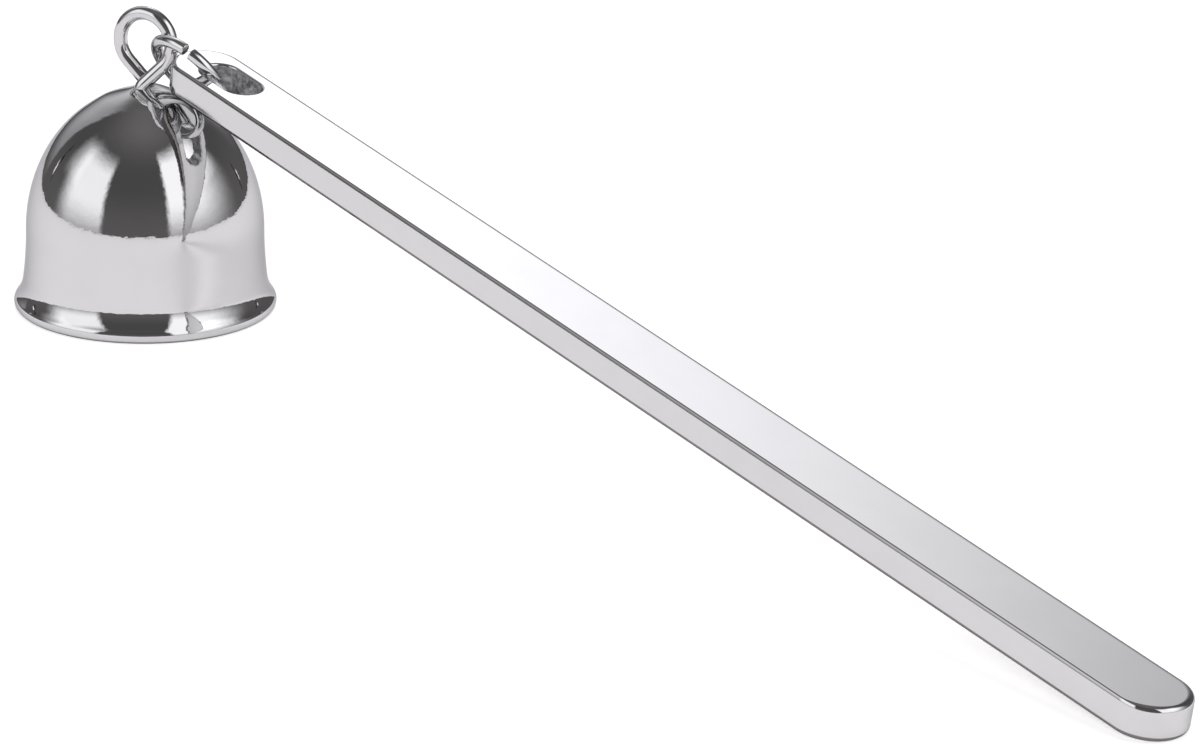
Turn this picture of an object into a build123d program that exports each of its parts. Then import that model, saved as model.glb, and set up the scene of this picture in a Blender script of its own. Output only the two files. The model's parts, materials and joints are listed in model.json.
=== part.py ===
from build123d import *
from math import asin, atan2, cos, degrees, hypot, radians, sin, sqrt, tan
import os

# Candle snuffer, in millimetres. The bell stands on its rim, and the handle slopes down along +X
# until its far end lies on the table. Z is up. The origin is on the table, in the middle of the box.

# Bell, a spun cup on a rounded lip
bell_height = 27.3
dome_radius = 14.5
dome_base_height = 9.9
quarter_share = 0.5523
bell_wall = 0.9
flare_start_radius = 14.9
flare_start_height = 3.7
lip_radius = 1.2
lip_flat_depth = 0.05
flare_angle = 42.0

# Eye, one bent wire: a loop whose two legs go down through the crown and splay inside
eye_wire = 1.7
eye_loop_radius = 3.6
eye_loop_rise = 5.8
eye_side_shift = -0.24
eye_back_shift = 0.77
eye_turn = 24.2
eye_shoulder_drop = 1.55
shoulder_reach_share = 0.97
eye_foot_rise = 0.6
eye_foot_bend = 1.6
clinch_bend = 1.2
clinch_reach = 4.6
leg_gap = 0.1
crown_clearance = 0.05

# Handle, a flat bar with round ends and a long slot near the bell
handle_length = 178.3
handle_width = 9.0
handle_thickness = 4.0
handle_edge_round = 0.7
slot_length = 9.4
slot_width = 4.88
slot_middle = 9.54
slot_offset = -0.2
slot_edge_round = 0.35

# Near end of the handle, from the shoulder of the eye's right leg, along, across and off its top face
near_end_reach = 0.388
near_end_side = 2.04
near_end_rise = 1.046

# Link ring, one turn of round wire with an open seam, placed and leant in the handle's slot
ring_wire = 1.5
ring_mean_radius = 5.18
ring_reach = 2.672
ring_side = -1.35
ring_depth = 1.662
ring_lean = 34.28
ring_yaw = 10.11
seam_gap = 0.8
seam_angle = -67.7
seam_edge_round = 0.12

# Inside of the bell, and the hole through its crown
dome_rise = bell_height - dome_base_height
inner_rise = dome_rise - bell_wall
inner_radius = dome_radius - bell_wall
rim_radius = inner_radius + 2 * lip_radius
lip_middle = (inner_radius + lip_radius, lip_radius - lip_flat_depth)
crown_hole_radius = eye_wire + leg_gap / 2 + crown_clearance

# Heights of the eye, from the bell's crown
eye_loop_height = bell_height + eye_loop_rise
eye_shoulder_height = eye_loop_height - eye_shoulder_drop
eye_foot_height = bell_height + eye_foot_rise

# Slope at which the rounded lower edge of the handle's far end touches the table
far_run = near_end_reach + handle_length - handle_edge_round
far_drop = handle_thickness - handle_edge_round - near_end_rise
far_lift = near_end_rise - handle_edge_round
hook_rise = eye_shoulder_height - handle_edge_round
rest_slope = asin(hook_rise / hypot(far_run, far_drop)) - atan2(far_drop, far_run)

# Shoulder of the eye's right leg, where the ring hangs, from the bell's axis
turn = radians(eye_turn)
right_across = eye_side_shift + eye_loop_radius
hook_x = right_across * cos(turn) - eye_back_shift * sin(turn)
hook_y = right_across * sin(turn) + eye_back_shift * cos(turn)

# Every piece is placed from the bell's axis, and the bell's axis from the middle of the box
far_x = hook_x + far_run * cos(rest_slope) + far_lift * sin(rest_slope) + handle_edge_round
bell_x = (rim_radius - far_x) / 2
bell_axis = Axis((bell_x, 0, 0), (0, 0, 1))
bell_section = Plane((bell_x, 0, 0), x_dir=(1, 0, 0), z_dir=(0, -1, 0))
eye_plane = Plane((bell_x, 0, 0), x_dir=(cos(turn), sin(turn), 0), z_dir=(0, 0, 1))

# The handle hangs from the hook at its slope, and the ring lies in the handle's own directions
along = Vector(cos(rest_slope), 0, -sin(rest_slope))
upward = Vector(sin(rest_slope), 0, cos(rest_slope))
hook_plane = Plane((bell_x + hook_x, hook_y, eye_shoulder_height), x_dir=along, z_dir=upward)
near_end = hook_plane.from_local_coords(Vector(near_end_reach, near_end_side, near_end_rise))
handle_plane = Plane(near_end, x_dir=along, z_dir=upward)

yaw = radians(ring_yaw)
lean = radians(ring_lean)
ring_centre = handle_plane.from_local_coords(Vector(ring_reach, ring_side, -ring_depth))
ring_across = along * cos(yaw) + handle_plane.y_dir * sin(yaw)
ring_level = handle_plane.y_dir * cos(yaw) - along * sin(yaw)
ring_plane = Plane(
    ring_centre, x_dir=ring_across, z_dir=ring_level * cos(lean) + upward * sin(lean)
)


def dome_points(radius, rise):
    """Control points of a quarter ellipse, from the skirt up to the bell's axis."""
    return [
        (radius, dome_base_height),
        (radius, dome_base_height + quarter_share * rise),
        (quarter_share * radius, dome_base_height + rise),
        (0, dome_base_height + rise),
    ]


def under_crown(distance):
    """Height of the clinched wire's middle, this far from the axis, against the bell's inside."""
    flatness = sqrt(1 - (distance / inner_radius) ** 2)
    slope = inner_rise * distance / (inner_radius**2 * flatness)
    seat = eye_wire / 2 + crown_clearance
    return dome_base_height + inner_rise * flatness - seat * hypot(1, slope)


def leg_route(side):
    """Corners of one leg, from the loop down through the crown; side is 1 or -1."""
    across = eye_side_shift + side * eye_loop_radius
    foot = -side * (eye_wire + leg_gap) / 2
    reach = -side * clinch_reach
    return [
        (across, eye_back_shift, eye_loop_height),
        (across, eye_back_shift, eye_shoulder_height),
        (0, foot, eye_foot_height),
        (0, foot, under_crown(abs(foot))),
        (0, reach, under_crown(clinch_reach)),
    ]


def shoulder_radius(route):
    """Radius of the shoulder bend, which takes up nearly all of the drop above its corner."""
    loop_end, shoulder, foot = [Vector(point) for point in route[:3]]
    bend = (shoulder - loop_end).get_angle(foot - shoulder)
    return shoulder_reach_share * eye_shoulder_drop / tan(radians(bend) / 2)


# Bell
with BuildPart() as bell_cup:
    with BuildSketch(bell_section):
        with BuildLine():
            dome = Bezier(*dome_points(dome_radius, dome_rise))
            skirt = TangentArc(dome @ 0, (flare_start_radius, flare_start_height), tangent=(0, -1))
            lip = CenterArc(lip_middle, lip_radius, flare_angle, -180 - flare_angle)
            TangentArc(skirt @ 1, lip @ 0, tangent=skirt % 1)
            Line(lip @ 1, (inner_radius, dome_base_height))
            inside = Bezier(*dome_points(inner_radius, inner_rise))
            Line(inside @ 1, dome @ 1)
        make_face()
        Rectangle(crown_hole_radius, bell_height, align=Align.MIN, mode=Mode.SUBTRACT)
        Rectangle(rim_radius, lip_radius, align=(Align.MIN, Align.MAX), mode=Mode.SUBTRACT)
    revolve(axis=bell_axis)
bell_cup.part.label = "bell_cup"

# Eye
with BuildPart() as eye_loop:
    right_leg = leg_route(1)
    left_leg = leg_route(-1)
    loop_top = (eye_side_shift, eye_back_shift, eye_loop_height + eye_loop_radius)
    with BuildLine(eye_plane) as eye_path:
        FilletPolyline(*right_leg[::-1], radius=[clinch_bend, eye_foot_bend, shoulder_radius(right_leg)])
        ThreePointArc(right_leg[0], loop_top, left_leg[0])
        FilletPolyline(*left_leg, radius=[shoulder_radius(left_leg), eye_foot_bend, clinch_bend])
    with BuildSketch(Plane(eye_path.wire() @ 0, z_dir=eye_path.wire() % 0)):
        Circle(eye_wire / 2)
    sweep(path=eye_path.wire())
eye_loop.part.label = "eye_loop"

# Link ring
with BuildPart() as link_ring:
    seam_turn = degrees(seam_gap / ring_mean_radius)
    start = radians(seam_angle + seam_turn / 2)
    outward = ring_plane.x_dir * cos(start) + ring_plane.y_dir * sin(start)
    with BuildSketch(Plane(ring_plane.origin, x_dir=outward, z_dir=ring_plane.z_dir.cross(outward))):
        with Locations((ring_mean_radius, 0)):
            Circle(ring_wire / 2)
    revolve(axis=Axis(ring_plane.origin, ring_plane.z_dir), revolution_arc=360 - seam_turn)
    fillet(link_ring.faces().filter_by(GeomType.PLANE).edges(), seam_edge_round)
link_ring.part.label = "link_ring"

# Handle
with BuildPart() as handle_bar:
    with BuildSketch(handle_plane):
        with Locations((handle_length / 2, 0)):
            SlotOverall(handle_length, handle_width)
        with Locations((slot_middle, slot_offset)):
            SlotOverall(slot_length, slot_width, mode=Mode.SUBTRACT)
    extrude(amount=-handle_thickness)
    flat_faces = handle_bar.faces().filter_by(Axis(handle_plane.origin, handle_plane.z_dir))
    fillet([edge for face in flat_faces for edge in face.outer_wire().edges()], handle_edge_round)
    flat_faces = handle_bar.faces().filter_by(Axis(handle_plane.origin, handle_plane.z_dir))
    fillet([edge for face in flat_faces for edge in face.inner_wires().edges()], slot_edge_round)
handle_bar.part.label = "handle_bar"

os.makedirs("parts", exist_ok=True)
for piece in (bell_cup, eye_loop, link_ring, handle_bar):
    export_step(piece.part, f"parts/{piece.part.label}.step")
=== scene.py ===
import json
from math import acos, asin, atan2, ceil, cos, hypot, pi, radians, sin, tan

import bpy
from mathutils import Matrix, Vector


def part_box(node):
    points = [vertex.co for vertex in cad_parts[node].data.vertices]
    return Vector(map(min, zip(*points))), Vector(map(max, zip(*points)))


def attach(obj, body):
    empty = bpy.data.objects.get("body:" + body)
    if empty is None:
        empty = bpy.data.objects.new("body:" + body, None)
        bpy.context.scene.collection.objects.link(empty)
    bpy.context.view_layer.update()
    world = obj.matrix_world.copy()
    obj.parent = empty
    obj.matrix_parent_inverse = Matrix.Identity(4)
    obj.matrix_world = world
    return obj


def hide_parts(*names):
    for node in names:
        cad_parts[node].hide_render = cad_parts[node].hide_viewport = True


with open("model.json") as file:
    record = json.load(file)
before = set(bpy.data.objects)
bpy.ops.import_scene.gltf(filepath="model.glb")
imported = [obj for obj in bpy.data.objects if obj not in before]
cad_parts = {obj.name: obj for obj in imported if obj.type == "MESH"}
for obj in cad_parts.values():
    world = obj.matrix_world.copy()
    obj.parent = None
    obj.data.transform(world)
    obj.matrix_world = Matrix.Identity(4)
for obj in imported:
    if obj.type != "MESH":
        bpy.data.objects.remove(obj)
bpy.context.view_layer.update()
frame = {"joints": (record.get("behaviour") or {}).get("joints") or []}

# Candle snuffer: a spun bell with a bent wire eye, an open link ring and a slotted flat handle.
# Sizes are in millimetres and are turned into metres where a point is made.
MM = 0.001

# Bell
bell_height = 27.3
dome_radius = 14.5
dome_base_height = 9.9
bell_wall = 0.9
flare_start_radius = 14.9
flare_start_height = 3.72
rim_radius = 16.0
lip_outer_round = 1.0
lip_inner_round = 1.2
lip_flat_depth = 0.05
flare_angle = radians(37)
crown_swell = 0.75
crown_swell_reach = 7.5
crown_hole_radius = 1.8
crown_hole_width = 2.1
squeeze_reach = 3
dome_steps = 72
skirt_steps = 14
flare_steps = 18
lip_outer_steps = 32
lip_inner_steps = 24
inside_steps = 48
bell_steps = 288
crease_angle = radians(35)

# Eye
eye_wire = 1.7
eye_loop_radius = 3.6
eye_loop_height = 33.1
eye_side_shift = -0.24
eye_back_shift = 0.77
eye_turn = radians(24.2)
eye_shoulder_drop = 1.55
shoulder_reach_share = 0.97
eye_foot_height = 27.9
eye_foot_bend = 1.6
clinch_bend = 1.2
clinch_reach = 4.6
leg_gap = 0.1
crown_clearance = 0.05
eye_spacing = 0.1

# Link ring
ring_wire = 1.5
ring_mean_radius = 5.18
seam_gap = 0.8
seam_angle = radians(-56.5)
seam_edge_round = 0.12
ring_steps = 360
ring_spacing = 0.05
wire_steps = 40

# Handle
handle_length = 178.3
handle_width = 9.0
handle_thickness = 4.0
handle_edge_round = 0.7
front_edge_round = 0.35
back_edge_round = 1.0
front_share_power = 8
slot_length = 9.4
slot_width = 4.88
slot_middle = 9.54
slot_offset = -0.2
slot_edge_round = 0.35
end_steps = 64
bar_edge_steps = 12
slot_edge_steps = 8

# Finishes
grazing_tint = (0.62, 0.62, 0.64, 1)
# Painted shade: the dark colour laid where the bell's lip meets the table and along the bar's lower
# edge
painted_shade_tint = (0.28, 0.27, 0.27, 1)
cast_dark = (0.4, 0.4, 0.405, 1)
cast_bright = (0.9, 0.9, 0.91, 1)
cast_roughness = 0.38
cast_grain = 0.9
cast_relief = 0.06
patch_size = 6.0
patch_share = 0.97
# Painted shade: the height under which the bell's lip is darkened where it meets the table
contact_shade_height = 0.3

# Camera, as the photograph was taken: a long lens, a little above the table
view_azimuth = radians(51.52)
view_elevation = radians(18.31)
view_roll = radians(1.13)
view_distance = 733.4
view_aim_right = 55.6
view_aim_up = -8.44
camera_lens = 179.8
camera_sensor = 36.0

# Studio: the light of the room and of the table, as the camera and the metal see it
ceiling_light = 0.07
wall_light = 0.035
room_light = 0.075
panel_tint = (0.985, 0.98, 1.0)
room_tint = (1.03, 0.99, 0.99)
below_table = (0.5, 0.49, 0.49, 1)
table_tint = (0.8, 0.786, 0.79, 1)
table_half_width = 4.0
glow_to_eye = 0.5
glow_to_metal = 0.13
overhead_place = (0, 0.15, 1.1)
overhead_size = 0.9
overhead_power = 3.4
frontal_spread = radians(30)
frontal_power = 2.8


# Points of lines and arcs, in millimetres

def arc_points(centre, radii, start, end, steps):
    """Points of an arc of a circle or an ellipse in the plane of the bell's section."""
    turns = [start + (end - start) * step / steps for step in range(steps + 1)]
    return [(centre[0] + radii[0] * cos(turn), centre[1] + radii[1] * sin(turn)) for turn in turns]


def tangent_arc_points(start, direction, end, steps):
    """Points of the arc that leaves start along direction and bends to its left to reach end."""
    normal = Vector((-direction[1], direction[0])).normalized()
    chord = Vector(end) - Vector(start)
    radius = chord.length_squared / (2 * chord.dot(normal))
    centre = Vector(start) + normal * radius
    first = atan2(start[1] - centre.y, start[0] - centre.x)
    last = atan2(end[1] - centre.y, end[0] - centre.x)
    if last < first:
        last += 2 * pi
    return arc_points(centre, (radius, radius), first, last, steps)


def rounded_corner(before, corner, after, radius, steps):
    """Points of the bend that rounds a corner of a wire's route."""
    inward = (before - corner).normalized()
    outward = (after - corner).normalized()
    half_turn = (pi - inward.angle(outward)) / 2
    reach = radius * tan(half_turn)
    middle = corner + (inward + outward).normalized() * (radius / cos(half_turn))
    start = corner + inward * reach - middle
    axis = start.cross(corner + outward * reach - middle).normalized()
    turns = [2 * half_turn * step / steps for step in range(steps + 1)]
    return [middle + Matrix.Rotation(turn, 3, axis) @ start for turn in turns]


# Node trees

def new_node(tree, kind, **settings):
    """Add a node and set its settings."""
    node = tree.nodes.new(kind)
    for name, value in settings.items():
        setattr(node, name, value)
    return node


def join(tree, source, target):
    """Link one socket to another."""
    tree.links.new(source, target)


def arithmetic(tree, operation, *values):
    """A math node over sockets and numbers; returns its output."""
    node = new_node(tree, "ShaderNodeMath", operation=operation)
    for socket, value in zip(node.inputs, values):
        if isinstance(value, (int, float)):
            socket.default_value = value
        else:
            join(tree, value, socket)
    return node.outputs[0]


def new_geometry_tree(name, sizes):
    """A geometry node tree with a curve going in, a mesh coming out and named sizes."""
    tree = bpy.data.node_groups.new(name, "GeometryNodeTree")
    tree.interface.new_socket("Shape", in_out="INPUT", socket_type="NodeSocketGeometry")
    for label, kind in sizes:
        tree.interface.new_socket(label, in_out="INPUT", socket_type=kind)
    tree.interface.new_socket("Piece", in_out="OUTPUT", socket_type="NodeSocketGeometry")
    return tree, new_node(tree, "NodeGroupInput"), new_node(tree, "NodeGroupOutput")


def finish_tree(tree, geometry, finish, output):
    """End a tree in realised instances that carry the finish."""
    realise = new_node(tree, "GeometryNodeRealizeInstances")
    dress = new_node(tree, "GeometryNodeSetMaterial")
    join(tree, geometry, realise.inputs[0])
    join(tree, realise.outputs[0], dress.inputs["Geometry"])
    join(tree, finish, dress.inputs["Material"])
    join(tree, dress.outputs[0], output.inputs[0])


def spinning_tree():
    """Spin a closed section, drawn with its radius along X and its height along Z, round an axis."""
    tree, given, output = new_geometry_tree(
        "spun_shell",
        [
            ("Axis Place", "NodeSocketVector"),
            ("Steps Around", "NodeSocketInt"),
            ("Sharp Above", "NodeSocketFloat"),
            ("Hole Radius", "NodeSocketFloat"),
            ("Hole Squeeze", "NodeSocketFloat"),
            ("Hole Turn", "NodeSocketFloat"),
            ("Finish", "NodeSocketMaterial"),
        ],
    )
    count = new_node(tree, "GeometryNodeAttributeDomainSize", component="CURVE")
    join(tree, given.outputs["Shape"], count.inputs[0])

    # One column of the grid for each point of the section and one more that closes it
    columns = arithmetic(tree, "ADD", count.outputs["Point Count"], 1)
    rows = arithmetic(tree, "ADD", given.outputs["Steps Around"], 1)
    grid = new_node(tree, "GeometryNodeMeshGrid")
    join(tree, count.outputs["Point Count"], grid.inputs["Size X"])
    join(tree, given.outputs["Steps Around"], grid.inputs["Size Y"])
    join(tree, columns, grid.inputs["Vertices X"])
    join(tree, rows, grid.inputs["Vertices Y"])

    place = new_node(tree, "ShaderNodeSeparateXYZ")
    join(tree, new_node(tree, "GeometryNodeInputPosition").outputs[0], place.inputs[0])
    half = arithmetic(tree, "MULTIPLY", count.outputs["Point Count"], 0.5)
    column = arithmetic(tree, "ROUND", arithmetic(tree, "ADD", place.outputs["X"], half))
    index = arithmetic(tree, "MODULO", column, count.outputs["Point Count"])
    share = arithmetic(tree, "DIVIDE", place.outputs["Y"], given.outputs["Steps Around"])
    turn = arithmetic(tree, "MULTIPLY", share, 2 * pi)

    section = new_node(tree, "GeometryNodeSampleIndex", data_type="FLOAT_VECTOR", domain="POINT")
    join(tree, given.outputs["Shape"], section.inputs["Geometry"])
    join(tree, new_node(tree, "GeometryNodeInputPosition").outputs[0], section.inputs["Value"])
    join(tree, index, section.inputs["Index"])
    swing = new_node(tree, "ShaderNodeVectorRotate", rotation_type="Z_AXIS")
    join(tree, section.outputs["Value"], swing.inputs["Vector"])
    join(tree, turn, swing.inputs["Angle"])

    # The round hole is squeezed to the oblong that the two wires side by side need, and the
    # squeeze fades out at a few times the hole's radius
    reach = new_node(tree, "ShaderNodeSeparateXYZ")
    join(tree, section.outputs["Value"], reach.inputs[0])
    squeeze_end = arithmetic(tree, "MULTIPLY", given.outputs["Hole Radius"], squeeze_reach)
    near_hole = new_node(tree, "ShaderNodeMapRange", interpolation_type="SMOOTHSTEP")
    join(tree, reach.outputs["X"], near_hole.inputs["Value"])
    join(tree, given.outputs["Hole Radius"], near_hole.inputs["From Min"])
    join(tree, squeeze_end, near_hole.inputs["From Max"])
    join(tree, given.outputs["Hole Squeeze"], near_hole.inputs["To Min"])
    back = new_node(tree, "ShaderNodeVectorRotate", rotation_type="Z_AXIS")
    join(tree, swing.outputs[0], back.inputs["Vector"])
    join(tree, arithmetic(tree, "MULTIPLY", given.outputs["Hole Turn"], -1), back.inputs["Angle"])
    narrow = new_node(tree, "ShaderNodeVectorMath", operation="MULTIPLY")
    factors = new_node(tree, "ShaderNodeCombineXYZ")
    join(tree, near_hole.outputs["Result"], factors.inputs["X"])
    factors.inputs["Y"].default_value = 1
    factors.inputs["Z"].default_value = 1
    join(tree, back.outputs[0], narrow.inputs[0])
    join(tree, factors.outputs[0], narrow.inputs[1])
    forth = new_node(tree, "ShaderNodeVectorRotate", rotation_type="Z_AXIS")
    join(tree, narrow.outputs[0], forth.inputs["Vector"])
    join(tree, given.outputs["Hole Turn"], forth.inputs["Angle"])
    shift = new_node(tree, "ShaderNodeVectorMath", operation="ADD")
    join(tree, forth.outputs[0], shift.inputs[0])
    join(tree, given.outputs["Axis Place"], shift.inputs[1])
    spin = new_node(tree, "GeometryNodeSetPosition")
    join(tree, grid.outputs["Mesh"], spin.inputs["Geometry"])
    join(tree, shift.outputs[0], spin.inputs["Position"])

    # The first and last rows and columns are joined, and the edge of the hole stays crisp
    close = new_node(tree, "GeometryNodeMergeByDistance")
    close.inputs["Distance"].default_value = MM / 1000
    join(tree, spin.outputs[0], close.inputs[0])
    smooth = new_node(tree, "GeometryNodeSetShadeSmooth", domain="FACE")
    join(tree, close.outputs[0], smooth.inputs[0])
    angle = new_node(tree, "GeometryNodeInputMeshEdgeAngle")
    sharp = arithmetic(tree, "GREATER_THAN", angle.outputs[0], given.outputs["Sharp Above"])
    crease = new_node(tree, "GeometryNodeSetShadeSmooth", domain="EDGE")
    crease.inputs["Shade Smooth"].default_value = False
    join(tree, smooth.outputs[0], crease.inputs[0])
    join(tree, sharp, crease.inputs["Selection"])
    finish_tree(tree, crease.outputs[0], given.outputs["Finish"], output)
    return tree


def bent_wire_tree():
    """Draw a round wire along a route, with its cut ends a little rounded."""
    tree, given, output = new_geometry_tree(
        "bent_wire",
        [
            ("Wire Radius", "NodeSocketFloat"),
            ("Steps Around", "NodeSocketInt"),
            ("End Rounding", "NodeSocketFloat"),
            ("Finish", "NodeSocketMaterial"),
        ],
    )
    reach = new_node(tree, "GeometryNodeSplineParameter").outputs["Length"]
    whole = new_node(tree, "GeometryNodeSplineLength").outputs["Length"]
    nearest = arithmetic(tree, "MINIMUM", reach, arithmetic(tree, "SUBTRACT", whole, reach))
    left = arithmetic(tree, "SUBTRACT", given.outputs["End Rounding"], nearest)
    drop = arithmetic(tree, "MAXIMUM", left, 0)
    square = arithmetic(tree, "POWER", given.outputs["End Rounding"], 2)
    drop_square = arithmetic(tree, "POWER", drop, 2)
    chord = arithmetic(tree, "SQRT", arithmetic(tree, "SUBTRACT", square, drop_square))
    core = arithmetic(tree, "SUBTRACT", given.outputs["Wire Radius"], given.outputs["End Rounding"])
    thickness = arithmetic(tree, "ADD", core, chord)

    section = new_node(tree, "GeometryNodeCurvePrimitiveCircle", mode="RADIUS")
    section.inputs["Radius"].default_value = 1
    join(tree, given.outputs["Steps Around"], section.inputs["Resolution"])
    draw = new_node(tree, "GeometryNodeCurveToMesh")
    join(tree, given.outputs["Shape"], draw.inputs["Curve"])
    join(tree, thickness, draw.inputs["Scale"])
    join(tree, section.outputs[0], draw.inputs["Profile Curve"])
    draw.inputs["Fill Caps"].default_value = True
    smooth = new_node(tree, "GeometryNodeSetShadeSmooth", domain="FACE")
    join(tree, draw.outputs[0], smooth.inputs[0])
    finish_tree(tree, smooth.outputs[0], given.outputs["Finish"], output)
    return tree


def line_object(name, points, closed):
    """A curve through points given in millimetres."""
    curve = bpy.data.curves.new(name, "CURVE")
    curve.dimensions = "3D"
    spline = curve.splines.new("POLY")
    spline.points.add(len(points) - 1)
    for knot, point in zip(spline.points, points):
        knot.co = (*(Vector(point) * MM), 1)
    spline.use_cyclic_u = closed
    guide = bpy.data.objects.new(name, curve)
    bpy.context.scene.collection.objects.link(guide)
    return guide


def made_piece(name, guide, tree, **inputs):
    """Run a tree on a guide curve and keep the result as a plain mesh object."""
    builder = guide.modifiers.new(tree.name, "NODES")
    builder.node_group = tree
    for socket in tree.interface.items_tree:
        label = socket.name.lower().replace(" ", "_")
        if socket.in_out == "INPUT" and label in inputs:
            builder[socket.identifier] = inputs[label]
    graph = bpy.context.evaluated_depsgraph_get()
    mesh = bpy.data.meshes.new_from_object(guide.evaluated_get(graph), depsgraph=graph)
    mesh.name = name
    guide.modifiers.remove(builder)
    bpy.data.objects.remove(guide)
    piece = bpy.data.objects.new(name, mesh)
    bpy.context.scene.collection.objects.link(piece)
    return piece


# Finishes

def polished_metal(name, tint, roughness_low, roughness_high, mark_scale, mark_turn, mark_height):
    """Mirror chrome with fine polishing marks, stretched by mark_scale and turned about Y."""
    finish = bpy.data.materials.new(name)
    finish.use_nodes = True
    tree = finish.node_tree
    metal = tree.nodes["Principled BSDF"]
    metal.inputs["Metallic"].default_value = 1
    metal.inputs["Specular Tint"].default_value = grazing_tint

    place = new_node(tree, "ShaderNodeTexCoord")
    stretch = new_node(tree, "ShaderNodeMapping", vector_type="TEXTURE")
    stretch.inputs["Rotation"].default_value = (0, mark_turn, 0)
    stretch.inputs["Scale"].default_value = [size * MM for size in mark_scale]
    join(tree, place.outputs["Object"], stretch.inputs["Vector"])
    marks = new_node(tree, "ShaderNodeTexNoise")
    marks.inputs["Scale"].default_value = 1
    marks.inputs["Detail"].default_value = 2
    marks.inputs["Roughness"].default_value = 0.5
    join(tree, stretch.outputs[0], marks.inputs["Vector"])

    # Handling leaves broad dull patches a few millimetres across
    patches = new_node(tree, "ShaderNodeTexNoise")
    patches.inputs["Scale"].default_value = 1 / (patch_size * MM)
    patches.inputs["Detail"].default_value = 3
    join(tree, place.outputs["Object"], patches.inputs["Vector"])
    dull = arithmetic(tree, "MULTIPLY", marks.outputs["Fac"], patches.outputs["Fac"])
    gloss = new_node(tree, "ShaderNodeMapRange")
    gloss.inputs["From Min"].default_value = 0.1
    gloss.inputs["From Max"].default_value = 0.45
    gloss.inputs["To Min"].default_value = roughness_low
    gloss.inputs["To Max"].default_value = roughness_high
    join(tree, dull, gloss.inputs["Value"])
    join(tree, gloss.outputs["Result"], metal.inputs["Roughness"])

    shade = new_node(tree, "ShaderNodeValToRGB")
    shade.color_ramp.elements[0].position = 0.3
    shade.color_ramp.elements[0].color = (*[part * patch_share for part in tint], 1)
    shade.color_ramp.elements[1].position = 0.7
    shade.color_ramp.elements[1].color = (*tint, 1)
    join(tree, patches.outputs["Fac"], shade.inputs[0])
    join(tree, shade.outputs["Color"], metal.inputs["Base Color"])

    relief = new_node(tree, "ShaderNodeBump")
    relief.inputs["Strength"].default_value = 1
    relief.inputs["Distance"].default_value = mark_height * MM
    join(tree, marks.outputs["Fac"], relief.inputs["Height"])
    join(tree, relief.outputs["Normal"], metal.inputs["Normal"])
    return finish


def paint_shade(finish, share):
    """Paint shade into the metal's colour, darkening it where the share is high."""
    tree = finish.node_tree
    metal = tree.nodes["Principled BSDF"]
    darkened = new_node(tree, "ShaderNodeMix", data_type="RGBA")
    join(tree, share, darkened.inputs["Factor"])
    join(tree, metal.inputs["Base Color"].links[0].from_socket, darkened.inputs["A"])
    darkened.inputs["B"].default_value = painted_shade_tint
    join(tree, darkened.outputs["Result"], metal.inputs["Base Color"])


def paint_contact_shade(finish, height):
    """Paint shade into a piece's colour below a height above the table, where it meets the table."""
    tree = finish.node_tree
    place = new_node(tree, "ShaderNodeSeparateXYZ")
    join(tree, new_node(tree, "ShaderNodeTexCoord").outputs["Object"], place.inputs[0])
    fade = new_node(tree, "ShaderNodeMapRange", interpolation_type="SMOOTHSTEP")
    fade.inputs["From Min"].default_value = height * 1.5 * MM
    fade.inputs["From Max"].default_value = height * 0.5 * MM
    join(tree, place.outputs["Z"], fade.inputs["Value"])
    paint_shade(finish, fade.outputs["Result"])


def leave_unpolished(finish, mark):
    """Where the piece carries the mark, keep the metal dull, dark and grainy, as it was cast."""
    tree = finish.node_tree
    metal = tree.nodes["Principled BSDF"]
    share = new_node(tree, "ShaderNodeAttribute", attribute_name=mark).outputs["Fac"]
    place = new_node(tree, "ShaderNodeTexCoord")
    grain = new_node(tree, "ShaderNodeTexNoise")
    grain.inputs["Scale"].default_value = 1 / (cast_grain * MM)
    grain.inputs["Detail"].default_value = 5
    grain.inputs["Roughness"].default_value = 0.7
    join(tree, place.outputs["Object"], grain.inputs["Vector"])

    dulled = new_node(tree, "ShaderNodeMix", data_type="FLOAT")
    join(tree, share, dulled.inputs["Factor"])
    join(tree, metal.inputs["Roughness"].links[0].from_socket, dulled.inputs["A"])
    dulled.inputs["B"].default_value = cast_roughness
    join(tree, dulled.outputs["Result"], metal.inputs["Roughness"])

    spots = new_node(tree, "ShaderNodeValToRGB")
    spots.color_ramp.elements[0].position = 0.42
    spots.color_ramp.elements[0].color = cast_dark
    spots.color_ramp.elements[1].position = 0.6
    spots.color_ramp.elements[1].color = cast_bright
    join(tree, grain.outputs["Fac"], spots.inputs[0])
    darkened = new_node(tree, "ShaderNodeMix", data_type="RGBA")
    join(tree, share, darkened.inputs["Factor"])
    join(tree, metal.inputs["Base Color"].links[0].from_socket, darkened.inputs["A"])
    join(tree, spots.outputs["Color"], darkened.inputs["B"])
    join(tree, darkened.outputs["Result"], metal.inputs["Base Color"])

    rough_cast = new_node(tree, "ShaderNodeBump")
    rough_cast.inputs["Distance"].default_value = cast_relief * MM
    join(tree, share, rough_cast.inputs["Strength"])
    join(tree, grain.outputs["Fac"], rough_cast.inputs["Height"])
    join(tree, metal.inputs["Normal"].links[0].from_socket, rough_cast.inputs["Normal"])
    join(tree, rough_cast.outputs["Normal"], metal.inputs["Normal"])


# Bell: its section goes down outside, round the lip and up inside, back to the hole in the crown

def swollen(point):
    """A point of the dome, lifted where the crown is drawn up round the eye's foot."""
    radius, height = point
    share = max(1 - radius / crown_swell_reach, 0)
    return radius, height + crown_swell * share * share * (3 - 2 * share)


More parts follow.
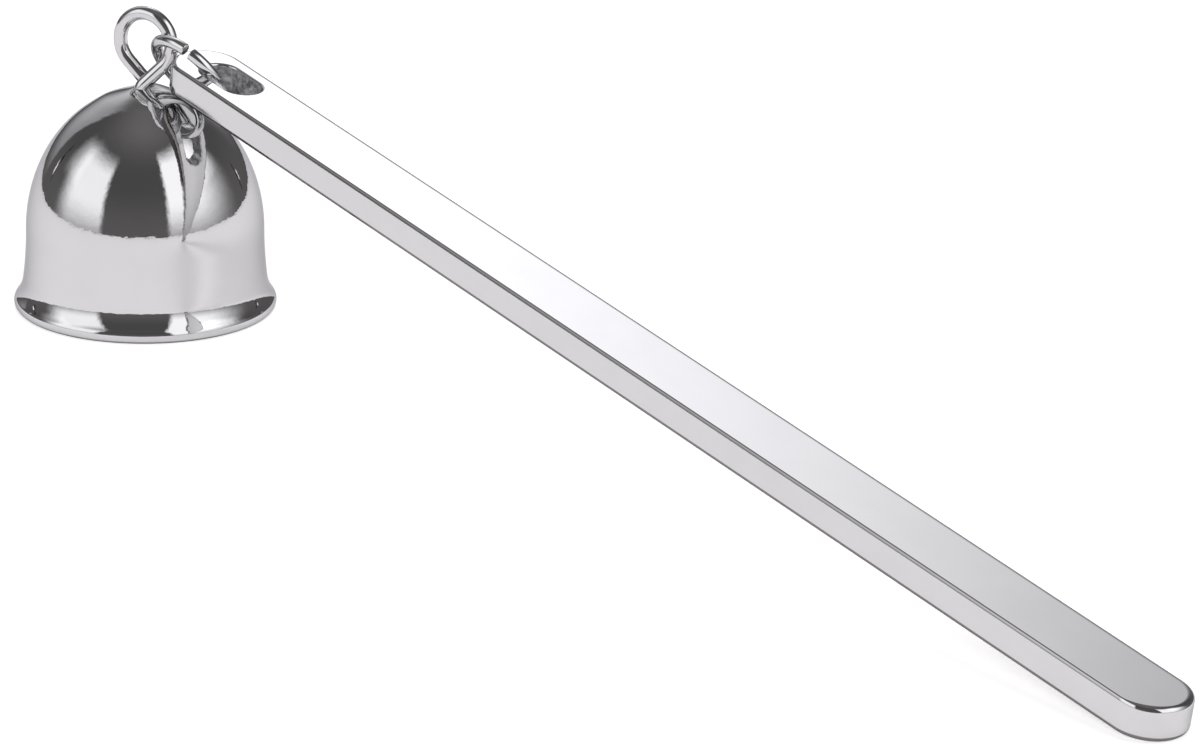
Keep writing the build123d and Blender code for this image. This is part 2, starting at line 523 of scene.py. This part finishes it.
def bell_section():
    """The bell's closed section, as radius, nothing and height."""
    rise = bell_height - dome_base_height
    inner_radius = dome_radius - bell_wall
    inner_rise = rise - bell_wall
    base = (0, dome_base_height)
    skirt_end = (flare_start_radius, flare_start_height)
    outer_middle = (rim_radius - lip_outer_round, lip_outer_round - lip_flat_depth)
    inner_middle = (inner_radius + lip_inner_round, lip_inner_round - lip_flat_depth)
    outer_radii = (lip_outer_round, lip_outer_round)
    inner_radii = (lip_inner_round, lip_inner_round)
    outer_hole = acos(crown_hole_radius / dome_radius)
    inner_hole = acos(crown_hole_radius / inner_radius)
    dome = arc_points(base, (dome_radius, rise), outer_hole, 0, dome_steps)
    skirt = tangent_arc_points(dome[-1], (0, -1), skirt_end, skirt_steps)
    direction = Vector(skirt[-1]) - Vector(skirt[-2])
    lip = arc_points(outer_middle, outer_radii, flare_angle, -pi / 2, lip_outer_steps)
    lip += arc_points(inner_middle, inner_radii, -pi / 2, -pi, lip_inner_steps)
    flare = tangent_arc_points(skirt_end, direction, lip[0], flare_steps)
    inside = arc_points(base, (inner_radius, inner_rise), 0, inner_hole, inside_steps)
    outline = [swollen(point) for point in dome] + skirt[1:] + flare[1:] + lip[1:] + inside
    return [(radius, 0, max(height, 0)) for radius, height in outline]


def make_bell(finish):
    """The spun bell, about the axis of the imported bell."""
    low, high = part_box("bell_cup")
    axis_place = ((low[0] + high[0]) / 2, (low[1] + high[1]) / 2, 0)
    bell = made_piece(
        "bell",
        line_object("bell_section", bell_section(), True),
        spinning_tree(),
        axis_place=axis_place,
        steps_around=bell_steps,
        sharp_above=crease_angle,
        hole_radius=crown_hole_radius * MM,
        hole_squeeze=crown_hole_width / (2 * crown_hole_radius),
        hole_turn=eye_turn,
        finish=finish,
    )
    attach(bell, "bell")
    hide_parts("bell_cup")
    return bell


# Eye: up one leg, round the loop and down the other leg, splayed against the inside of the crown

def under_crown(distance):
    """Height of the splayed wire's middle, this far from the bell's axis."""
    inner_radius = dome_radius - bell_wall
    inner_rise = bell_height - bell_wall - dome_base_height
    flatness = (1 - (distance / inner_radius) ** 2) ** 0.5
    slope = inner_rise * distance / (inner_radius**2 * flatness)
    seat = eye_wire / 2 + crown_clearance
    return dome_base_height + inner_rise * flatness - seat * hypot(1, slope)


def leg_points(side):
    """One leg from the loop's end down to its splayed end; side is 1 or -1."""
    across = eye_side_shift + side * eye_loop_radius
    foot = -side * (eye_wire + leg_gap) / 2
    corners = [
        Vector((across, eye_back_shift, eye_loop_height)),
        Vector((across, eye_back_shift, eye_loop_height - eye_shoulder_drop)),
        Vector((0, foot, eye_foot_height)),
        Vector((0, foot, under_crown(abs(foot)))),
        Vector((0, -side * clinch_reach, under_crown(clinch_reach))),
    ]
    bend = (corners[1] - corners[0]).angle(corners[2] - corners[1])
    shoulder = shoulder_reach_share * eye_shoulder_drop / tan(bend / 2)
    radii = [shoulder, eye_foot_bend, clinch_bend]
    bend_steps = 16
    points = [corners[0]]
    for before, corner, after, radius in zip(corners, corners[1:], corners[2:], radii):
        points += rounded_corner(before, corner, after, radius, bend_steps)
    return points + [corners[-1]]


def even_points(points, step):
    """Points about one step apart along the same line, keeping every corner."""
    spaced = [points[0]]
    for start, end in zip(points, points[1:]):
        parts = max(1, ceil((end - start).length / step))
        spaced += [start.lerp(end, part / parts) for part in range(1, parts + 1)]
    return spaced


def make_eye(finish, tree):
    """The wire eye in the bell's crown."""
    middle = Vector((eye_side_shift, eye_back_shift, eye_loop_height))
    loop_steps = 64
    turns = [pi * step / loop_steps for step in range(1, loop_steps)]
    loop = [middle + eye_loop_radius * Vector((cos(turn), 0, sin(turn))) for turn in turns]
    low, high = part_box("bell_cup")
    axis_place = Vector(((low[0] + high[0]) / 2, (low[1] + high[1]) / 2, 0)) / MM
    turn = Matrix.Rotation(eye_turn, 3, "Z")
    route = even_points(leg_points(1)[::-1] + loop + leg_points(-1), eye_spacing)
    eye = made_piece(
        "eye",
        line_object("eye_route", [turn @ point + axis_place for point in route], False),
        tree,
        wire_radius=eye_wire / 2 * MM,
        steps_around=wire_steps,
        end_rounding=seam_edge_round * MM,
        finish=finish,
    )
    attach(eye, "bell")
    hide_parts("eye_loop")
    return eye


# Link ring: its middle and its plane are those of the joint that the handle turns on

def make_ring(finish, tree):
    """The open link ring, with its seam at the upper left."""
    hinge = next(joint for joint in frame["joints"] if joint["name"] == "handle_on_ring")
    normal = -Vector(hinge["axis"]).normalized()
    level = normal.cross(Vector((0, 0, 1))).normalized()
    upward = normal.cross(level)
    centre = Vector(hinge["pos_m"]) / MM
    opening = seam_gap / ring_mean_radius
    start = seam_angle + opening / 2
    round_turn = 2 * pi - opening
    turns = [start + round_turn * step / ring_steps for step in range(ring_steps + 1)]
    route = [centre + ring_mean_radius * (level * cos(turn) + upward * sin(turn)) for turn in turns]
    ring = made_piece(
        "ring",
        line_object("ring_route", even_points(route, ring_spacing), False),
        tree,
        wire_radius=ring_wire / 2 * MM,
        steps_around=wire_steps,
        end_rounding=seam_edge_round * MM,
        finish=finish,
    )
    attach(ring, "link_ring")
    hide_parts("link_ring")
    return ring


# Handle: one closed band of outlines, out over the top edge, under the bar and up through the slot

def stadium(middle, length, width, steps):
    """A long outline with round ends: points and the directions that they face."""
    half_run = (length - width) / 2
    outline = []
    for side in (1, -1):
        for step in range(steps + 1):
            turn = pi * step / steps - side * pi / 2
            facing = Vector((cos(turn), sin(turn)))
            point = Vector(middle) + Vector((side * half_run, 0)) + facing * width / 2
            outline.append((point, facing))
    return outline


def edge_rows(outline, out, depth_of, rounding, steps):
    """Points and facings of each line round the bar, from the top face down to the bottom face."""
    rows = []
    for half, first, last in ((1, 0, steps), (-1, steps, 0)):
        for step in range(first, last + half, half):
            turn = pi / 2 * step / steps
            row = []
            for point, facing in outline:
                depth = depth_of(facing) if half > 0 else rounding
                inset = depth * (1 - sin(turn))
                height = rounding * (cos(turn) - 1)
                if half < 0:
                    height = -handle_thickness - height
                tilt = atan2(sin(turn) / depth, cos(turn) / rounding * half)
                flat = point - facing * inset * out
                normal = Vector((*(facing * sin(tilt) * out), cos(tilt)))
                row.append((Vector((*flat, height)), normal))
            rows.append(row)
    return rows


def hand_polished_round(facing):
    """How far the top edge is rounded in: little in front, more at the ends, most behind."""
    if facing.y < 0:
        front_share = facing.y**front_share_power
        return handle_edge_round + (front_edge_round - handle_edge_round) * front_share
    return handle_edge_round + (back_edge_round - handle_edge_round) * facing.y


def handle_slope():
    """The slope that fits the bar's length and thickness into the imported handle's box."""
    low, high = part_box("handle_bar")
    run = handle_length - 2 * handle_edge_round
    drop = handle_thickness - 2 * handle_edge_round
    rise = (high[2] - low[2]) / MM - 2 * handle_edge_round
    return asin(rise / hypot(run, drop)) - atan2(drop, run)


def handle_place(slope):
    """Turn and place of the handle, from the middle of its near end on the top face."""
    low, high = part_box("handle_bar")
    along = Vector((cos(slope), 0, -sin(slope)))
    upward = Vector((sin(slope), 0, cos(slope)))
    drop = handle_thickness - 2 * handle_edge_round
    edge_x = low[0] / MM + handle_edge_round + drop * sin(slope)
    edge_z = high[2] / MM - handle_edge_round
    edge = Vector((edge_x, (low[1] + high[1]) / 2 / MM, edge_z))
    near_end = edge - along * handle_edge_round + upward * handle_edge_round
    turn = Matrix((along, (0, 1, 0), upward)).transposed()
    return turn, near_end


def even_round(facing):
    """How far the slot's edge is rounded in, the same all round."""
    return slot_edge_round


def make_handle(finish, slope):
    """The flat bar with its round ends, rounded edges and slot."""
    bar = stadium((handle_length / 2, 0), handle_length, handle_width, end_steps)
    slot = stadium((slot_middle, slot_offset), slot_length, slot_width, end_steps)
    turn, near_end = handle_place(slope)
    outside = edge_rows(bar, 1, hand_polished_round, handle_edge_round, bar_edge_steps)
    inside = edge_rows(slot, -1, even_round, slot_edge_round, slot_edge_steps)
    rows = outside + inside[::-1]

    # One share for each row: the slot's wall is left as cast, and the bar's lower edge gets painted
    # shade
    inner = [0] + [1] * (slot_edge_steps + 2) + [0] * (slot_edge_steps - 1)
    lower = [0] * (bar_edge_steps + 2) + [1] * (bar_edge_steps - 1) + [0]
    marks = {
        "unpolished": [0] * len(lower) + inner,
        "painted_edge_shade": lower + [0] * len(inner),
    }
    points = [(turn @ point + near_end) * MM for row in rows for point, normal in row]
    facings = [turn @ normal for row in rows for point, normal in row]
    width = len(bar)
    faces = []
    for row in range(len(rows)):
        for step in range(width):
            here = row * width
            below = (row + 1) % len(rows) * width
            ahead = (step + 1) % width
            faces.append((here + step, below + step, below + ahead, here + ahead))
    mesh = bpy.data.meshes.new("handle")
    mesh.from_pydata(points, [], faces)
    mesh.polygons.foreach_set("use_smooth", [True] * len(faces))
    mesh.normals_split_custom_set_from_vertices(facings)
    for mark, shares in marks.items():
        attribute = mesh.attributes.new(mark, "FLOAT", "POINT")
        attribute.data.foreach_set("value", [share for share in shares for step in range(width)])
    mesh.materials.append(finish)
    handle = bpy.data.objects.new("handle", mesh)
    bpy.context.scene.collection.objects.link(handle)
    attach(handle, "handle")
    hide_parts("handle_bar")
    return handle


# Floor, light and camera

def studio_angles(tree):
    """Azimuth to the right of the view and elevation of a ray that leaves for the room."""
    place = new_node(tree, "ShaderNodeTexCoord")
    turn = new_node(tree, "ShaderNodeVectorRotate", rotation_type="Z_AXIS")
    turn.inputs["Angle"].default_value = -view_azimuth
    join(tree, place.outputs["Generated"], turn.inputs["Vector"])
    split = new_node(tree, "ShaderNodeSeparateXYZ")
    join(tree, turn.outputs[0], split.inputs[0])
    azimuth = arithmetic(tree, "ARCTAN2", split.outputs["X"], split.outputs["Y"])
    elevation = arithmetic(tree, "ARCSINE", split.outputs["Z"])
    return azimuth, elevation


def ramp_between(tree, value, start, end):
    """Smooth rise from nothing at start to one at end, both in degrees."""
    node = new_node(tree, "ShaderNodeMapRange", interpolation_type="SMOOTHSTEP")
    node.inputs["From Min"].default_value = radians(start)
    node.inputs["From Max"].default_value = radians(end)
    join(tree, value, node.inputs["Value"])
    return node.outputs["Result"]


def soft_panel(tree, angles, azimuths, elevations, strength):
    """A panel of light: four azimuths and four elevations where it starts, is full, and ends."""
    azimuth, elevation = angles
    rise = ramp_between(tree, azimuth, azimuths[0], azimuths[1])
    fall = ramp_between(tree, azimuth, azimuths[3], azimuths[2])
    foot = ramp_between(tree, elevation, elevations[0], elevations[1])
    head = ramp_between(tree, elevation, elevations[3], elevations[2])
    across = arithmetic(tree, "MULTIPLY", rise, fall)
    upright = arithmetic(tree, "MULTIPLY", foot, head)
    return arithmetic(tree, "MULTIPLY", arithmetic(tree, "MULTIPLY", across, upright), strength)


def tinted(tree, level, tint):
    """A level of light in a given tint."""
    node = new_node(tree, "ShaderNodeVectorMath", operation="SCALE")
    node.inputs[0].default_value = tint
    join(tree, level, node.inputs["Scale"])
    return node.outputs[0]


def light_room():
    """A dim grey room with soft panels over a white table, and plain white behind the object."""
    world = bpy.data.worlds.new("studio")
    world.use_nodes = True
    bpy.context.scene.world = world
    tree = world.node_tree
    backdrop = tree.nodes["Background"]
    angles = studio_angles(tree)
    left_panel = soft_panel(tree, angles, (-144, -137, -104, -80), (-14, 20, 37, 57), 1.0)
    left_corner = soft_panel(tree, angles, (-106, -94, -84, -70), (16, 28, 42, 52), 0.3)
    right_panel = soft_panel(tree, angles, (66, 122, 149, 155), (-14, 24, 50, 66), 1.1)
    right_corner = soft_panel(tree, angles, (70, 88, 108, 122), (22, 36, 52, 62), 0.5)
    back_panel = soft_panel(tree, angles, (-12, -2, 3, 16), (14, 26, 40, 52), 0.66)
    back_glow = soft_panel(tree, angles, (-56, -8, 2, 30), (2, 30, 42, 66), 0.485)
    back_wall = soft_panel(tree, angles, (-53, -49, 0, 40), (-2, 16, 46, 70), 0.22)
    back_spot = soft_panel(tree, angles, (-8, -2, 1, 6), (18, 26, 40, 48), 0.25)
    left_strip = soft_panel(tree, angles, (-64.4, -63.8, -63.2, -62.6), (9, 11, 15, 18), 1.0)
    left_pole = soft_panel(tree, angles, (-66, -65.4, -64.8, -64.2), (6, 9, 26, 31), -0.08)
    right_strip = soft_panel(tree, angles, (53.2, 53.8, 54.4, 55), (6, 7.5, 10, 12), 0.8)
    right_pole = soft_panel(tree, angles, (55.2, 55.8, 56.6, 57.2), (2, 4, 13, 18), -0.08)
    panels = left_panel
    lights = [left_corner, right_panel, right_corner, back_panel, back_glow, back_wall, back_spot]
    for panel in (*lights, left_strip, left_pole, right_strip, right_pole):
        panels = arithmetic(tree, "ADD", panels, panel)
    ceiling = arithmetic(tree, "MULTIPLY", ramp_between(tree, angles[1], 45, 90), ceiling_light)
    low_walls = arithmetic(tree, "MULTIPLY", ramp_between(tree, angles[1], 36, 2), wall_light)
    room = arithmetic(tree, "ADD", arithmetic(tree, "ADD", ceiling, low_walls), room_light)
    cool_panels = tinted(tree, panels, panel_tint)
    warm_room = tinted(tree, room, room_tint)
    above = new_node(tree, "ShaderNodeVectorMath", operation="ADD")
    join(tree, cool_panels, above.inputs[0])
    join(tree, warm_room, above.inputs[1])

    below = ramp_between(tree, angles[1], -0.5, -1.0)
    seen = new_node(tree, "ShaderNodeMix", data_type="RGBA")
    join(tree, below, seen.inputs["Factor"])
    join(tree, above.outputs[0], seen.inputs["A"])
    seen.inputs["B"].default_value = below_table
    rays = new_node(tree, "ShaderNodeLightPath")
    white = new_node(tree, "ShaderNodeMix", data_type="RGBA")
    join(tree, rays.outputs["Is Camera Ray"], white.inputs["Factor"])
    join(tree, seen.outputs["Result"], white.inputs["A"])
    white.inputs["B"].default_value = (1, 1, 1, 1)
    join(tree, white.outputs["Result"], backdrop.inputs["Color"])


def make_floor():
    """A white table top that stays white to the eye and to the metal, with the shadow kept."""
    mesh = bpy.data.meshes.new("floor")
    signs = ((-1, -1), (1, -1), (1, 1), (-1, 1))
    corners = [(x * table_half_width, y * table_half_width, 0) for x, y in signs]
    mesh.from_pydata(corners, [], [(0, 1, 2, 3)])
    floor = bpy.data.objects.new("floor", mesh)
    bpy.context.scene.collection.objects.link(floor)
    paper = bpy.data.materials.new("white_table")
    paper.use_nodes = True
    tree = paper.node_tree
    tree.nodes.clear()
    output = new_node(tree, "ShaderNodeOutputMaterial")
    matt = new_node(tree, "ShaderNodeBsdfDiffuse")
    matt.inputs["Color"].default_value = table_tint
    glow = new_node(tree, "ShaderNodeEmission")
    rays = new_node(tree, "ShaderNodeLightPath")
    eye_level = arithmetic(tree, "MULTIPLY", rays.outputs["Is Camera Ray"], glow_to_eye)
    metal_level = arithmetic(tree, "MULTIPLY", rays.outputs["Is Glossy Ray"], glow_to_metal)
    clear_level = arithmetic(tree, "MULTIPLY", rays.outputs["Is Transmission Ray"], glow_to_metal)
    level = arithmetic(tree, "ADD", arithmetic(tree, "ADD", eye_level, metal_level), clear_level)
    join(tree, level, glow.inputs["Strength"])
    both = new_node(tree, "ShaderNodeAddShader")
    join(tree, matt.outputs[0], both.inputs[0])
    join(tree, glow.outputs[0], both.inputs[1])
    join(tree, both.outputs[0], output.inputs["Surface"])
    floor.data.materials.append(paper)


def light_table(camera_place):
    """A lamp over the table and one by the camera, whose shadow falls behind the object."""
    overhead = bpy.data.lights.new("overhead", "AREA")
    overhead.shape = "DISK"
    overhead.size = overhead_size
    overhead.energy = overhead_power
    frontal = bpy.data.lights.new("frontal", "SUN")
    frontal.angle = frontal_spread
    frontal.energy = frontal_power
    for lamp, place in ((overhead, Vector(overhead_place)), (frontal, camera_place)):
        hung = bpy.data.objects.new(lamp.name, lamp)
        turn = place.to_track_quat("Z", "Y").to_matrix().to_4x4()
        hung.matrix_world = Matrix.Translation(place) @ turn
        hung.visible_glossy = False
        hung.visible_camera = False
        bpy.context.scene.collection.objects.link(hung)


def place_camera():
    """The camera of the photograph, aimed from the bell's place on the table."""
    low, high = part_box("bell_cup")
    bell_base = Vector(((low[0] + high[0]) / 2, (low[1] + high[1]) / 2, 0))
    away = Vector((0, cos(view_elevation), -sin(view_elevation)))
    right = Vector((1, 0, 0))
    upward = Vector((0, sin(view_elevation), cos(view_elevation)))
    rolled_right = right * cos(view_roll) + upward * sin(view_roll)
    rolled_up = upward * cos(view_roll) - right * sin(view_roll)
    turn = Matrix.Rotation(view_azimuth, 3, "Z")
    aim = turn @ (rolled_right * view_aim_right + rolled_up * view_aim_up) * MM
    axes = Matrix((turn @ rolled_right, turn @ rolled_up, turn @ -away)).transposed()
    camera = bpy.data.cameras.new("camera")
    camera.lens = camera_lens
    camera.sensor_width = camera_sensor
    camera.clip_start = 0.01
    camera.clip_end = 20
    stand = bpy.data.objects.new("camera", camera)
    place = bell_base + aim - turn @ away * view_distance * MM
    stand.matrix_world = Matrix.Translation(place) @ axes.to_4x4()
    bpy.context.scene.collection.objects.link(stand)
    bpy.context.scene.camera = stand
    return place


slope = handle_slope()
bell_finish = polished_metal(
    "bell_chrome",
    tint=(0.79, 0.79, 0.8),
    roughness_low=0.01,
    roughness_high=0.07,
    mark_scale=(1.0, 1.0, 0.8),
    mark_turn=0,
    mark_height=0.01,
)
wire_finish = polished_metal(
    "wire_chrome",
    tint=(0.77, 0.77, 0.78),
    roughness_low=0.03,
    roughness_high=0.1,
    mark_scale=(0.8, 0.8, 0.8),
    mark_turn=0,
    mark_height=0.004,
)
bar_finish = polished_metal(
    "bar_chrome",
    tint=(0.8, 0.8, 0.81),
    roughness_low=0.04,
    roughness_high=0.1,
    mark_scale=(30, 0.3, 0.3),
    mark_turn=slope,
    mark_height=0.0004,
)

# Painted shade: the bar's lower rounded edge is darkened, standing in for the reflection of the
# shaded table beneath it
low_edge_shade = new_node(bar_finish.node_tree, "ShaderNodeAttribute", attribute_name="painted_edge_shade")
paint_shade(bar_finish, low_edge_shade.outputs["Fac"])
leave_unpolished(bar_finish, "unpolished")
# Painted shade: the bell is darkened just above the table, a dark contact line at its lip
paint_contact_shade(bell_finish, contact_shade_height)

wire_tree = bent_wire_tree()
make_bell(bell_finish)
make_eye(wire_finish, wire_tree)
make_ring(wire_finish, wire_tree)
make_handle(bar_finish, slope)

make_floor()
light_room()
light_table(place_camera())
bpy.context.scene.view_settings.view_transform = "Standard"
